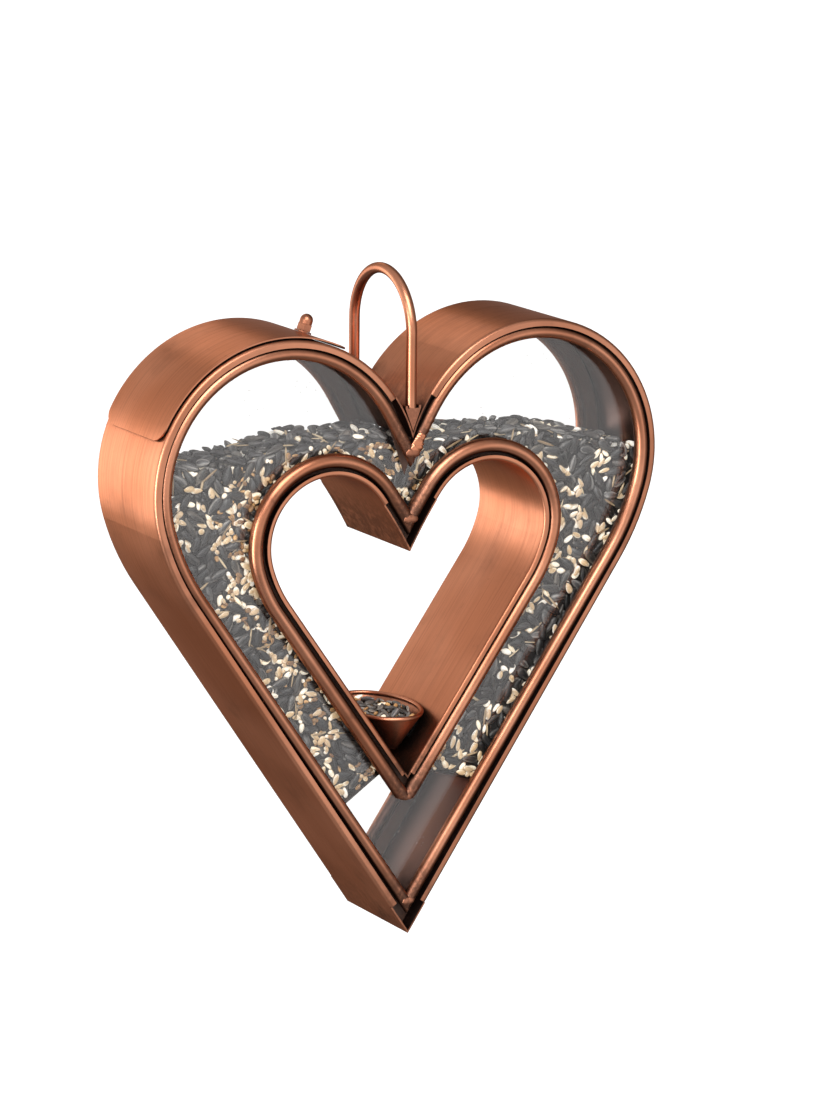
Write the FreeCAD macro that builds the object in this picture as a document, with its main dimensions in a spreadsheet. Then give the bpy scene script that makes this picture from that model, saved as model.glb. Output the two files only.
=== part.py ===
"""Hanging bird feeder: a heart-shaped hopper of copper sheet round a smaller heart-shaped fly-through.

Frame: millimetres, +Z up, +Y to the back. The origin is the hang point, the inside top of the hanger
arch, so the whole feeder hangs below it. Heights in the dimensions are given from the centres of the
two lobes of the outer heart, and every body's Placement moves them down by the hanger's height.
"""
import FreeCAD, Part
import math
import os
import re
import Sketcher

V = FreeCAD.Vector
DOC = FreeCAD.newDocument("HangingBirdFeeder")

# Driving dimensions: millimetres and degrees. Each one becomes a cell of the sheet, with its name as alias.
DIMENSIONS = {
    # Outer heart, measured on the outer face of its band. Three arcs and a line make each half.
    "lobe_offset": 81.6,
    "lobe_radius": 83.4,
    "notch_arc_radius": 91.1,
    "notch_arc_angle": 127,
    "side_arc_radius": 146.7,
    "side_arc_angle": 16.2,
    "side_slope": 34.1,
    "notch_slope": 20,
    # Inner heart, measured on the face of its band that looks into the fly-through.
    "inner_height": 36,
    "inner_lobe_offset": 51.6,
    "inner_lobe_radius": 38.5,
    "inner_notch_arc_radius": 272.5,
    "inner_notch_arc_angle": 144,
    "inner_side_arc_radius": 75.3,
    "inner_side_arc_angle": 16.3,
    "inner_side_slope": 35.1,
    "inner_notch_slope": 28.5,
    # Sheet bands with folded flanges.
    "sheet": 0.9,
    "band_depth": 74,
    "flange_width": 4.3,
    "fold_radius": 2,
    "notch_relief": 11.2,
    "tip_relief": 11.5,
    "inner_band_depth": 76,
    "inner_band_shift": 3,
    "inner_flange_width": 3,
    "inner_fold_radius": 1.5,
    "inner_notch_relief": 17.5,
    "inner_tip_relief": 1.5,
    "edge_setback": 0.5,
    # Tubes that trap the windows' edges behind them.
    "bead_radius": 3.65,
    "bead_wall": 0.8,
    "bead_inset": 8,
    "bead_depth": 33.5,
    "bead_side_slope": 34.6,
    "bead_notch_slope": 30,
    "inner_bead_radius": 4.2,
    "inner_bead_inset": 8.5,
    "inner_bead_depth": 31.2,
    "inner_bead_notch_slope": 31,
    "inner_bead_tip_cut": 8.4,
    "mitre_overrun": 8,
    "solder_height": 1.4,
    # Clear windows.
    "window_thickness": 1.5,
    "window_depth": 25.75,
    "window_play": 0.4,
    # Hopper floors.
    "left_floor_slope": 33.9,
    "left_floor_start": 5.9,
    "left_floor_height": -173.4,
    "left_floor_length": 50.7,
    "right_floor_slope": 16.5,
    "right_floor_start": 3.7,
    "right_floor_height": -176.5,
    "right_floor_length": 52.8,
    "floor_width": 49.2,
    # Feed cup and the slots that let seed into it.
    "cup_rim_height": -146,
    "cup_floor_height": -168,
    "cup_rim_half_width": 23.1,
    "cup_rim_half_depth": 35.6,
    "cup_floor_half_width": 8,
    "cup_floor_half_depth": 19,
    "cup_wall": 0.8,
    "cup_shift": 1.5,
    "rim_roll_radius": 1.3,
    "feed_slot_width": 30,
    "feed_slot_bottom": -163,
    "feed_slot_top": -153,
    # Hanger.
    "rod_diameter": 6.3,
    "arch_radius": 33.5,
    "arch_height": 80.1,
    "rod_foot_height": 38,
    "gusset_thickness": 3.5,
    "gusset_tip_height": 24.8,
    "gusset_half_width": 5,
    "gusset_ear": 1.6,
    # Fill lid, its stud and the cap nut.
    "stud_angle": 20,
    "lid_gap": 1.1,
    "lid_thickness": 0.8,
    "lid_depth": 70,
    "lid_reach": 88,
    "lid_heel": 9,
    "lid_corner": 9,
    "stud_diameter": 5,
    "thread_play": 0.05,
    "stud_hole_play": 0.25,
    "collar_radius": 4.5,
    "stud_tail": 5.2,
    "stud_top": 93.4,
    "nut_flats": 8,
    "nut_hex_height": 4,
    "nut_height": 10,
    "nut_bore_depth": 7.5,
    "nut_corner_cut": 0.5,
    "dome_radius": 3.75,
    "base_nut_height": 3.2,
    "base_nut_gap": 0.15,
    "washer_radius": 5,
    "washer_thickness": 1,
    "fill_opening_angle": -22,
    "fill_opening_length": 56,
    "fill_opening_width": 46,
    "fill_opening_corner": 6,
    # Seed: the loose fill of the hopper and of the cup, each as one plain solid.
    "seed_gap": 0.4,
    "seed_width": 49.2,
    "seed_left_level": 29,
    "seed_right_level": 11.5,
    "seed_level_reach": 170,
    "seed_floor_reach": 80,
    "cup_seed_drop": 2.2,
}
# Heights and radii that follow from the dimensions above.
HANG_DROP = "(arch_height + arch_radius - rod_diameter / 2)"
LID_INNER_RADIUS = "(lobe_radius + lid_gap)"
LID_OUTER_RADIUS = "(lobe_radius + lid_gap + lid_thickness)"
WASHER_BASE = f"({LID_OUTER_RADIUS} + thread_play)"
NUT_BASE = f"({WASHER_BASE} + washer_thickness + thread_play)"
BASE_NUT_TOP = "(lobe_radius - sheet - base_nut_gap)"

# Lengths that reach past everything: one for cuts, one for the outlines of cuts.
THROUGH = "200"
BEYOND = "400"


def make_sheet():
    sheet = DOC.addObject("Spreadsheet::Sheet", "Sizes")
    for row, (alias, size) in enumerate(DIMENSIONS.items(), start=1):
        sheet.set(f"A{row}", alias)
        sheet.set(f"B{row}", str(size))
        sheet.setAlias(f"B{row}", alias)
    sheet.recompute()
    return sheet


SHEET = make_sheet()


def value(text):
    """The number that an expression in the sheet's names stands for."""
    return float(SHEET.evalExpression(text))


def bound(text):
    """The same expression with every name qualified, for setExpression on other objects."""
    return re.sub(r"[a-z_]{3,}", lambda m: f"Sizes.{m[0]}" if m[0] in DIMENSIONS else m[0], text)


def bind(thing, path, text):
    thing.setExpression(path, bound(text))


def new_body(label, x="0", y="0", z="0", tilt=None):
    """A body placed at (x, y, z) from the outer lobes' height, turned by tilt degrees about Y."""
    body = DOC.addObject("PartDesign::Body", label)
    body.Label = label
    if tilt is not None:
        body.Placement = FreeCAD.Placement(V(), FreeCAD.Rotation(V(0, 1, 0), value(tilt)))
        bind(body, ".Placement.Rotation.Angle", tilt)
    bind(body, ".Placement.Base.x", x)
    bind(body, ".Placement.Base.y", y)
    bind(body, ".Placement.Base.z", f"{z} - {HANG_DROP}")
    return body


def new_sketch(body, name, role, offset=None):
    """A sketch on one of the body's own origin planes, moved by offset along the plane's normal."""
    sketch = body.newObject("Sketcher::SketchObject", name)
    plane = next(f for f in body.Origin.OriginFeatures if f.Role == role)
    sketch.AttachmentSupport = (plane, [""])
    sketch.MapMode = "FlatFace"
    if offset is not None:
        bind(sketch, ".AttachmentOffset.Base.z", offset)
    return sketch


def pin_point(sketch, geometry, end, name, x, y):
    """Fixes a point of the sketch at the two expressions x and y."""
    for axis, text, kind, line in (("x", x, "DistanceX", -2), ("y", y, "DistanceY", -1)):
        if text == "0":
            sketch.addConstraint(Sketcher.Constraint("PointOnObject", geometry, end, line))
            continue
        index = sketch.addConstraint(Sketcher.Constraint(kind, -1, 1, geometry, end, value(text)))
        sketch.renameConstraint(index, f"{name}_{axis}")
        bind(sketch, f"Constraints.{name}_{axis}", text)


def outline(sketch, corners, arcs=None, closed=True, name="point"):
    """A chain of lines and arcs through corners, each a pair of expressions.

    arcs maps a segment's number to (radius expression, turn, major): turn is +1 for an arc that turns
    left and -1 for one that turns right, and major is True for more than half a circle.
    """
    arcs = arcs or {}
    places = [V(value(x), value(y), 0) for x, y in corners]
    count = len(corners) if closed else len(corners) - 1
    ends = {}
    for segment in range(count):
        first, last = segment, (segment + 1) % len(corners)
        start, stop = places[first], places[last]
        if segment in arcs:
            radius_text, turn, major = arcs[segment]
            radius = value(radius_text)
            chord = stop - start
            rise = math.sqrt(max(radius ** 2 - chord.Length ** 2 / 4, 0))
            left = V(-chord.y, chord.x, 0).normalize()
            centre = (start + stop) / 2 + left * (rise * turn * (-1 if major else 1))
            begin, finish = (start, stop) if turn > 0 else (stop, start)
            angles = [math.atan2(p.y - centre.y, p.x - centre.x) for p in (begin, finish)]
            circle = Part.Circle(centre, V(0, 0, 1), radius)
            index = sketch.addGeometry(Part.ArcOfCircle(circle, *angles), False)
            constraint = sketch.addConstraint(Sketcher.Constraint("Radius", index, radius))
            sketch.renameConstraint(constraint, f"{name}{segment}_radius")
            bind(sketch, f"Constraints.{name}{segment}_radius", radius_text)
            first_end, last_end = (1, 2) if turn > 0 else (2, 1)
        else:
            index = sketch.addGeometry(Part.LineSegment(start, stop), False)
            first_end, last_end = 1, 2
        for corner, end in ((first, first_end), (last, last_end)):
            if corner in ends:
                sketch.addConstraint(Sketcher.Constraint("Coincident", *ends[corner], index, end))
            else:
                ends[corner] = (index, end)
    for corner, (x, y) in enumerate(corners):
        pin_point(sketch, *ends[corner], f"{name}{corner}", x, y)


def circle(sketch, x, y, radius, name="circle"):
    index = sketch.addGeometry(Part.Circle(V(value(x), value(y), 0), V(0, 0, 1), value(radius)), False)
    pin_point(sketch, index, 3, name, x, y)
    constraint = sketch.addConstraint(Sketcher.Constraint("Radius", index, value(radius)))
    sketch.renameConstraint(constraint, f"{name}_radius")
    bind(sketch, f"Constraints.{name}_radius", radius)


def ellipse(sketch, half_x, half_y, name):
    """An ellipse about the sketch's origin, longer along the sketch's y axis."""
    shape = Part.Ellipse(V(0, value(half_y), 0), V(value(half_x), 0, 0), V(0, 0, 0))
    index = sketch.addGeometry(shape, False)
    sketch.exposeInternalGeometry(index)
    major, minor = index + 1, index + 2
    sketch.addConstraint(Sketcher.Constraint("Coincident", index, 3, -1, 1))
    sketch.addConstraint(Sketcher.Constraint("PointOnObject", major, 1, -2))
    for line, half, kind in ((major, half_y, "DistanceY"), (minor, half_x, "DistanceX")):
        end = 1 if sketch.getPoint(line, 1).dot(V(1, 1, 0)) > 0 else 2
        constraint = sketch.addConstraint(Sketcher.Constraint(kind, -1, 1, line, end, value(half)))
        label = f"{name}_half_{'depth' if kind == 'DistanceY' else 'width'}"
        sketch.renameConstraint(constraint, label)
        bind(sketch, f"Constraints.{label}", half)


def rectangle(sketch, low_x, low_y, high_x, high_y, name="corner"):
    outline(sketch, [(low_x, low_y), (high_x, low_y), (high_x, high_y), (low_x, high_y)], name=name)


def pad(body, sketch, length, name, symmetric=False, down=False):
    feature = body.newObject("PartDesign::Pad", name)
    feature.Profile = sketch
    feature.SideType = "Symmetric" if symmetric else "One side"
    feature.Reversed = down
    bind(feature, "Length", length)
    DOC.recompute()
    return feature


def pocket(body, sketch, name, length=THROUGH, symmetric=False, forward=False):
    """Cuts the sketch out of the body, and checks that it removed something.

    A pocket runs against its sketch's normal; forward turns it along the normal.
    """
    DOC.recompute()
    before = body.Shape.Volume
    feature = body.newObject("PartDesign::Pocket", name)
    feature.Profile = sketch
    feature.SideType = "Symmetric" if symmetric else "One side"
    feature.Reversed = forward
    bind(feature, "Length", length)
    DOC.recompute()
    if not body.Shape.Volume < before - 0.01:
        raise RuntimeError(f"{body.Label}.{name} removed nothing")
    return feature


def pipe(body, section, path, name):
    feature = body.newObject("PartDesign::AdditivePipe", name)
    feature.Profile = section
    DOC.recompute()
    feature.Spine = (path, [f"Edge{n + 1}" for n in range(len(path.Shape.Edges))])
    DOC.recompute()
    return feature


def revolve(body, sketch, name, angle="360", axis="V_Axis", groove=False):
    DOC.recompute()
    before = body.Shape.Volume if groove else None
    feature = body.newObject(f"PartDesign::{'Groove' if groove else 'Revolution'}", name)
    feature.Profile = sketch
    feature.ReferenceAxis = (sketch, [axis])
    bind(feature, "Angle", angle)
    DOC.recompute()
    if groove and not body.Shape.Volume < before - 0.01:
        raise RuntimeError(f"{body.Label}.{name} removed nothing")
    return feature


def mirror_halves(body, feature, role="YZ_Plane"):
    """Mirrors a feature in one of the body's planes, so that a half outline makes a whole piece."""
    mirrored = body.newObject("PartDesign::Mirrored", f"{feature.Name}Mirror")
    plane = next(f for f in body.Origin.OriginFeatures if f.Role == role)
    mirrored.Originals = [feature]
    mirrored.MirrorPlane = (plane, [""])
    body.Tip = mirrored
    DOC.recompute()
    return mirrored


def mirrored_copy(label, source, normal):
    """A mirror image of a whole sub-part in the plane through the origin with this normal."""
    copy = DOC.addObject("Part::Mirroring", label)
    copy.Label = label
    copy.Source = source
    copy.Base = V(0, 0, 0)
    copy.Normal = normal
    return copy


class HalfHeart:
    """Expressions for the right half of a heart, grown outwards by an expression.

    The half runs from the notch by a short line, the notch arc, the lobe, the side arc and the side line
    to the tip. All its arcs turn the same way, and each meets the next at a tangent.
    """

    def __init__(self, prefix="", grow="0", side_slope=None, notch_slope=None):
        self.offset = f"{prefix}lobe_offset"
        self.lobe = f"({prefix}lobe_radius + {grow})"
        self.notch_arc = f"({prefix}notch_arc_radius + {grow})"
        self.side_arc = f"({prefix}side_arc_radius + {grow})"
        self.side_slope = side_slope or f"{prefix}side_slope"
        self.notch_slope = notch_slope or f"{prefix}notch_slope"
        notch_reach = f"({prefix}lobe_radius - {prefix}notch_arc_radius)"
        side_reach = f"({prefix}lobe_radius - {prefix}side_arc_radius)"
        notch_angle, side_angle = f"{prefix}notch_arc_angle", f"{prefix}side_arc_angle"
        self.notch_x = f"({self.offset} + {notch_reach} * cos({notch_angle}))"
        self.notch_z = f"({notch_reach} * sin({notch_angle}))"
        self.side_x = f"({self.offset} + {side_reach} * cos({side_angle}))"
        self.side_z = f"(-{side_reach} * sin({side_angle}))"
        self.widest = (f"({self.offset} + {self.lobe})", "0")
        self.lobe_end = (f"({self.offset} + {self.lobe} * cos({notch_angle}))",
                         f"({self.lobe} * sin({notch_angle}))")
        self.side_start = (f"({self.offset} + {self.lobe} * cos({side_angle}))",
                           f"(-{self.lobe} * sin({side_angle}))")
        self.notch_line = (f"({self.notch_x} - {self.notch_arc} * cos({self.notch_slope}))",
                           f"({self.notch_z} + {self.notch_arc} * sin({self.notch_slope}))")
        self.side_line = (f"({self.side_x} + {self.side_arc} * cos({self.side_slope}))",
                          f"({self.side_z} - {self.side_arc} * sin({self.side_slope}))")

    def notch_at(self, x):
        """The point of the notch line at this x."""
        start_x, start_z = self.notch_line
        return (x, f"({start_z} - ({start_x} - ({x})) / tan({self.notch_slope}))")

    def tip_at(self, x):
        """The point of the side line at this x."""
        start_x, start_z = self.side_line
        return (x, f"({start_z} - ({start_x} - ({x})) / tan({self.side_slope}))")

    def notch_arc_at(self, x):
        """The point of the notch arc at this x."""
        return (x, f"({self.notch_z} + sqrt({self.notch_arc} ^ 2 - ({x} - {self.notch_x}) ^ 2))")

    def loop(self, notch_x="0", tip_x="0"):
        """Corners and arcs from the notch over the lobe to the tip, turning right all the way."""
        corners = [self.notch_at(notch_x), self.notch_line, self.lobe_end, self.side_start, self.side_line,
                   self.tip_at(tip_x)]
        arcs = {1: (self.notch_arc, -1, False), 2: (self.lobe, -1, False), 3: (self.side_arc, -1, False)}
        return corners, arcs


def upper_path(body, half, end):
    """From the widest point over the lobe to end, a point of the notch arc or of the notch line."""
    sketch = new_sketch(body, "UpperPath", "XZ_Plane")
    corners = [half.widest, half.lobe_end]
    arcs = {0: (half.lobe, 1, False), 1: (half.notch_arc, 1, False)}
    if end[0] == "line":
        corners += [half.notch_line, half.notch_at(end[1])]
    else:
        corners += [half.notch_arc_at(end[1])]
    outline(sketch, corners, arcs, closed=False)
    return sketch


def lower_path(body, half, end_x):
    """From the widest point down the side to the side line's point at end_x."""
    sketch = new_sketch(body, "LowerPath", "XZ_Plane")
    corners = [half.widest, half.side_start, half.side_line, half.tip_at(end_x)]
    arcs = {0: (half.lobe, -1, False), 1: (half.side_arc, -1, False)}
    outline(sketch, corners, arcs, closed=False)
    return sketch


def flanged_section(body, face_x, inward, depth, flange, fold):
    """A channel: a web of sheet with a flange at the front and one at the back, with rounded folds.

    face_x is the web's outer face and inward, +1 or -1, is the way the flanges point along x.
    """
    sketch = new_sketch(body, "Section", "XY_Plane")

    def at(distance):
        return f"({face_x} + {inward} * {distance})"

    half = f"({depth} / 2)"
    tight = f"({fold} - sheet)"
    front = [(at(flange), f"-{half} + sheet"), (at(flange), f"-{half}"), (at(fold), f"-{half}"),
             (at("0"), f"-{half} + {fold}")]
    back = [(at("0"), f"{half} - {fold}"), (at(fold), half), (at(flange), half),
            (at(flange), f"{half} - sheet")]
    inside = [(at(fold), f"{half} - sheet"), (at("sheet"), f"{half} - {fold}"),
              (at("sheet"), f"-{half} + {fold}"), (at(fold), f"-{half} + sheet")]
    outer_turn = -inward
    arcs = {2: (fold, outer_turn, False), 4: (fold, outer_turn, False),
            8: (tight, -outer_turn, False), 10: (tight, -outer_turn, False)}
    outline(sketch, front + back + inside, arcs)
    return sketch


def web_end(body, name, outer, inner, cut, notch, depth):
    """The plain sheet between a flange's square-cut end and the middle plane, at the notch or the tip.

    outer and inner are the sheet's two faces as half hearts, and cut is the x of the square cut on the
    face that the flange's path follows.
    """
    sketch = new_sketch(body, name, "XZ_Plane")
    if notch:
        start = outer.notch_arc_at(cut)
        shrink = f"({inner.notch_arc} / {outer.notch_arc})"
        inner_start = (f"({outer.notch_x} + ({start[0]} - {outer.notch_x}) * {shrink})",
                       f"({outer.notch_z} + ({start[1]} - {outer.notch_z}) * {shrink})")
        corners = [start, outer.notch_line, outer.notch_at("0"), inner.notch_at("0"), inner.notch_line,
                   inner_start]
        arcs = {0: (outer.notch_arc, 1, False), 4: (inner.notch_arc, -1, False)}
    else:
        start = outer.tip_at(cut)
        step = f"({outer.lobe} - {inner.lobe})"
        inner_start = (f"({start[0]} - {step} * cos({outer.side_slope}))",
                       f"({start[1]} + {step} * sin({outer.side_slope}))")
        corners = [start, outer.tip_at("0"), inner.tip_at("0"), inner_start]
        arcs = {}
    outline(sketch, corners, arcs)
    pad(body, sketch, depth, f"{name}Web", symmetric=True)


def make_outer_band():
    """Right half of the outer band: a channel with its flanges turned in, plain at the notch and tip."""
    body = new_body("right_outer_band")
    face = HalfHeart()
    back_face = HalfHeart(grow="-sheet")
    section = flanged_section(body, "(lobe_offset + lobe_radius)", -1, "band_depth", "flange_width",
                              "fold_radius")
    pipe(body, section, upper_path(body, face, ("arc", "notch_relief")), "UpperChannel")
    pipe(body, section, lower_path(body, face, "tip_relief"), "LowerChannel")
    depth = "(band_depth - 2 * edge_setback)"
    web_end(body, "NotchEnd", face, back_face, "notch_relief", True, depth)
    web_end(body, "TipEnd", face, back_face, "tip_relief", False, depth)
    return body


def make_inner_band():
    """Right half of the inner band: flanges turned away from the fly-through, and a feed slot."""
    body = new_body("right_inner_band", y="inner_band_shift", z="-inner_height")
    face = HalfHeart("inner_")
    back_face = HalfHeart("inner_", grow="sheet")
    section = flanged_section(body, "(inner_lobe_offset + inner_lobe_radius)", 1, "inner_band_depth",
                              "inner_flange_width", "inner_fold_radius")
    pipe(body, section, upper_path(body, face, ("arc", "inner_notch_relief")), "UpperChannel")
    pipe(body, section, lower_path(body, face, "inner_tip_relief"), "LowerChannel")
    depth = "(inner_band_depth - 2 * edge_setback)"
    web_end(body, "NotchEnd", face, back_face, "inner_notch_relief", True, depth)
    web_end(body, "TipEnd", face, back_face, "inner_tip_relief", False, depth)
    slot = new_sketch(body, "FeedSlot", "YZ_Plane")
    half = "(feed_slot_width / 2)"
    rectangle(slot, f"-{half} - inner_band_shift", "feed_slot_bottom + inner_height",
              f"{half} - inner_band_shift", "feed_slot_top + inner_height")
    pocket(body, slot, "FeedSlotCut", forward=True)
    return body


def make_bead(label, half, radius, depth, height):
    """Right half of a tube along a window's edge, mitred in the middle plane."""
    body = new_body(label, z=height)
    section = new_sketch(body, "Section", "XY_Plane")
    circle(section, half.widest[0], f"(-{depth})", radius, "outside")
    circle(section, half.widest[0], f"(-{depth})", f"({radius} - bead_wall)", "inside")
    pipe(body, section, upper_path(body, half, ("line", "-mitre_overrun")), "UpperTube")
    pipe(body, section, lower_path(body, half, "-mitre_overrun"), "LowerTube")
    mitre = new_sketch(body, "Mitre", "XZ_Plane")
    rectangle(mitre, f"-{BEYOND}", f"-{BEYOND}", "0", BEYOND)
    pocket(body, mitre, "MitreCut", symmetric=True)
    return body


def blunt_tip(bead):
    """Cuts an inner tube's lower tip off level."""
    sketch = new_sketch(bead, "TipCut", "XZ_Plane")
    rectangle(sketch, f"-{BEYOND}", f"-{BEYOND}", BEYOND, f"({BEAD_TIP} + inner_height)")
    pocket(bead, sketch, "TipCutPocket", symmetric=True)


def inner_bead_heart():
    """The line that the inner tubes follow."""
    return HalfHeart("inner_", "inner_bead_inset", None, "inner_bead_notch_slope")


# Height of the horizontal cut that blunts the inner tubes' lower tip.
BEAD_TIP = (f"({inner_bead_heart().tip_at('0')[1]} - inner_height"
            " - inner_bead_radius / sin(inner_side_slope) + inner_bead_tip_cut)")


def between_bands(gap):
    """The two hearts that leave this gap to the sheet of the outer and of the inner band."""
    return HalfHeart("", f"-(sheet + {gap})"), HalfHeart("inner_", f"(sheet + {gap})")


def make_windows():
    """Two clear heart-shaped plates with a heart-shaped hole, behind the tubes and between the bands."""
    windows = []
    for label, side in (("front_window", "-"), ("rear_window", "")):
        body = new_body(label, y=f"{side}window_depth")
        sketch = new_sketch(body, "HalfRing", "XZ_Plane")
        half_ring(sketch, *between_bands("window_play"))
        mirror_halves(body, pad(body, sketch, "window_thickness", "HalfPlate", symmetric=True))
        windows.append(body)
    return windows


def half_ring(sketch, outer, inner):
    """The right half of the space between two hearts, closed along the middle plane.

    The inner heart's own heights are taken down by inner_height to the outer heart's.
    """
    corners, arcs = outer.loop()
    inner_corners, _ = inner.loop()
    inner_corners = [(x, f"({z} - inner_height)") for x, z in inner_corners]
    start = len(corners)
    corners = corners + inner_corners[::-1]
    radii = (inner.side_arc, inner.lobe, inner.notch_arc)
    for segment, radius in enumerate(radii, start=start + 1):
        arcs[segment] = (radius, 1, False)
    outline(sketch, corners, arcs)


def make_floor(label, side):
    """A sloping hopper floor between the windows, from the inner band down to the outer band."""
    left = side == "left"
    x = f"-{side}_floor_start" if left else f"{side}_floor_start"
    tilt = f"180 - {side}_floor_slope" if left else f"{side}_floor_slope"
    body = new_body(label, x=x, z=f"{side}_floor_height", tilt=tilt)
    sketch = new_sketch(body, "Plan", "XY_Plane")
    rectangle(sketch, "0", "-floor_width / 2", f"{side}_floor_length", "floor_width / 2")
    pad(body, sketch, "sheet", "Plate", down=not left)
    return body


def make_cup():
    """Oval feed cup with a rolled rim, wedged in the V of the inner heart."""
    body = new_body("feed_cup", y="cup_shift")
    outside = oval_pair(body, "Outside", "cup_floor_half_width", "cup_floor_half_depth",
                        "cup_floor_height", "cup_rim_half_width", "cup_rim_half_depth", "cup_rim_height")
    loft(body, "PartDesign::AdditiveLoft", outside, "Cone")
    inside = oval_pair(body, "Inside", "(cup_floor_half_width - cup_wall)",
                       "(cup_floor_half_depth - cup_wall)", "(cup_floor_height + cup_wall)",
                       "(cup_rim_half_width - cup_wall)", "(cup_rim_half_depth - cup_wall)",
                       "cup_rim_height")
    loft(body, "PartDesign::SubtractiveLoft", inside, "Hollow")
    rim_path = new_sketch(body, "RimPath", "XY_Plane", "cup_rim_height")
    ellipse(rim_path, "(cup_rim_half_width - rim_roll_radius)", "(cup_rim_half_depth - rim_roll_radius)",
            "rim")
    roll = new_sketch(body, "RollSection", "XZ_Plane")
    circle(roll, "(cup_rim_half_width - rim_roll_radius)", "cup_rim_height", "rim_roll_radius")
    pipe_feature = body.newObject("PartDesign::AdditivePipe", "RolledRim")
    pipe_feature.Profile = roll
    DOC.recompute()
    pipe_feature.Spine = (rim_path, ["Edge1"])
    DOC.recompute()
    slot = new_sketch(body, "FeedSlots", "YZ_Plane")
    half = "(feed_slot_width / 2)"
    rectangle(slot, f"-{half} - cup_shift", "feed_slot_bottom", f"{half} - cup_shift", "feed_slot_top")
    pocket(body, slot, "FeedSlotCut", symmetric=True)
    return body


def oval_pair(body, name, low_x, low_y, low_z, high_x, high_y, high_z):
    pair = []
    for end, half_x, half_y, height in (("Low", low_x, low_y, low_z), ("High", high_x, high_y, high_z)):
        sketch = new_sketch(body, f"{name}{end}", "XY_Plane", height)
        ellipse(sketch, half_x, half_y, "oval")
        pair.append(sketch)
    return pair


def loft(body, kind, sketches, name):
    feature = body.newObject(kind, name)
    feature.Profile = sketches[0]
    feature.Sections = sketches[1:]
    feature.Ruled = True
    DOC.recompute()
    return feature


def make_hanger():
    """A round rod bent to an arch, with both feet over the notch of the outer band."""
    body = new_body("hanger_rod", z="arch_height")
    section = new_sketch(body, "ArchSection", "XY_Plane")
    circle(section, "0", "arch_radius", "rod_diameter / 2")
    revolve(body, section, "Arch", angle="180", axis="H_Axis")
    legs = new_sketch(body, "Legs", "XY_Plane")
    circle(legs, "0", "-arch_radius", "rod_diameter / 2", name="front")
    circle(legs, "0", "arch_radius", "rod_diameter / 2", name="rear")
    pad(body, legs, "arch_height - rod_foot_height", "LegPads", down=True)
    if body.Shape.BoundBox.ZMax < -1:
        raise RuntimeError("the arch turns down instead of up")
    return body


def make_gusset():
    """A small plate that fills the band's notch under the rod's front foot, with an ear on each side."""
    body = new_body("front_hanger_gusset", y="-(band_depth / 2 - edge_setback) + gusset_thickness / 2")
    sketch = new_sketch(body, "Plate", "XZ_Plane")
    seat = "(rod_foot_height - 0.05)"
    ear_top = f"({seat} + gusset_ear)"
    ear_foot = "(rod_diameter / 2 + 0.2)"
    right = [("gusset_half_width", seat), ("gusset_half_width", ear_top), (f"{ear_foot} + 0.4", ear_top),
             (ear_foot, seat)]
    left = [(f"-({x})", z) for x, z in right[::-1]]
    outline(sketch, [("0", "gusset_tip_height")] + right + left)
    pad(body, sketch, "gusset_thickness", "PlatePad", symmetric=True)
    return body


def stud_body(label):
    """A body on the stud's axis: its origin is the left lobe's centre and its Z is the stud's."""
    return new_body(label, x="-lobe_offset", tilt="stud_angle")


def make_lid():
    """A curved sheet over the fill opening, concentric with the left lobe."""
    body = stud_body("fill_lid")
    sketch = new_sketch(body, "Arc", "XZ_Plane")

    def at(radius, angle):
        return (f"({radius} * cos({angle}))", f"({radius} * sin({angle}))")

    right, left = "(90 - lid_heel)", "(90 + lid_reach)"
    corners = [at(LID_INNER_RADIUS, right), at(LID_INNER_RADIUS, left), at(LID_OUTER_RADIUS, left),
               at(LID_OUTER_RADIUS, right)]
    outline(sketch, corners, {0: (LID_INNER_RADIUS, 1, False), 2: (LID_OUTER_RADIUS, -1, False)})
    plate = pad(body, sketch, "lid_depth", "Plate", symmetric=True)
    thickness = value("lid_thickness")
    corner_edges = [f"Edge{n + 1}" for n, edge in enumerate(plate.Shape.Edges)
                    if abs(edge.Length - thickness) < 1e-4]
    rounding = body.newObject("PartDesign::Fillet", "Corners")
    rounding.Base = (plate, corner_edges)
    bind(rounding, "Radius", "lid_corner")
    DOC.recompute()
    hole = new_sketch(body, "StudHole", "XY_Plane")
    circle(hole, "0", "0", "(stud_diameter / 2 + stud_hole_play)")
    pocket(body, hole, "StudHoleCut", forward=True)
    return body


def make_stud():
    """M5 stud with a collar on the band and a tail through it; its thread is a plain cylinder."""
    body = stud_body("lid_stud")
    profile = new_sketch(body, "Profile", "XZ_Plane")
    radius, lead = "(stud_diameter / 2)", "0.6"
    tail = f"({BASE_NUT_TOP} - stud_tail)"
    corners = [("0", tail), (f"{radius} - {lead}", tail), (radius, f"{tail} + {lead}"),
               (radius, "(lobe_radius + 0.02)"), ("collar_radius", "(lobe_radius + 0.02)"),
               ("collar_radius", f"({LID_INNER_RADIUS} - 0.15)"), (radius, f"({LID_INNER_RADIUS} - 0.15)"),
               (radius, f"(stud_top - {lead})"), (f"{radius} - {lead}", "stud_top"), ("0", "stud_top")]
    outline(profile, corners)
    revolve(body, profile, "Turned")
    return body


def hexagon(sketch, flats, name):
    corners = [(f"({flats} / 2 / cos(30) * cos({60 * n}))", f"({flats} / 2 / cos(30) * sin({60 * n}))")
               for n in range(6)]
    corners = [(x, "0" if n % 3 == 0 else y) for n, (x, y) in enumerate(corners)]
    outline(sketch, corners, name=name)


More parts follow.
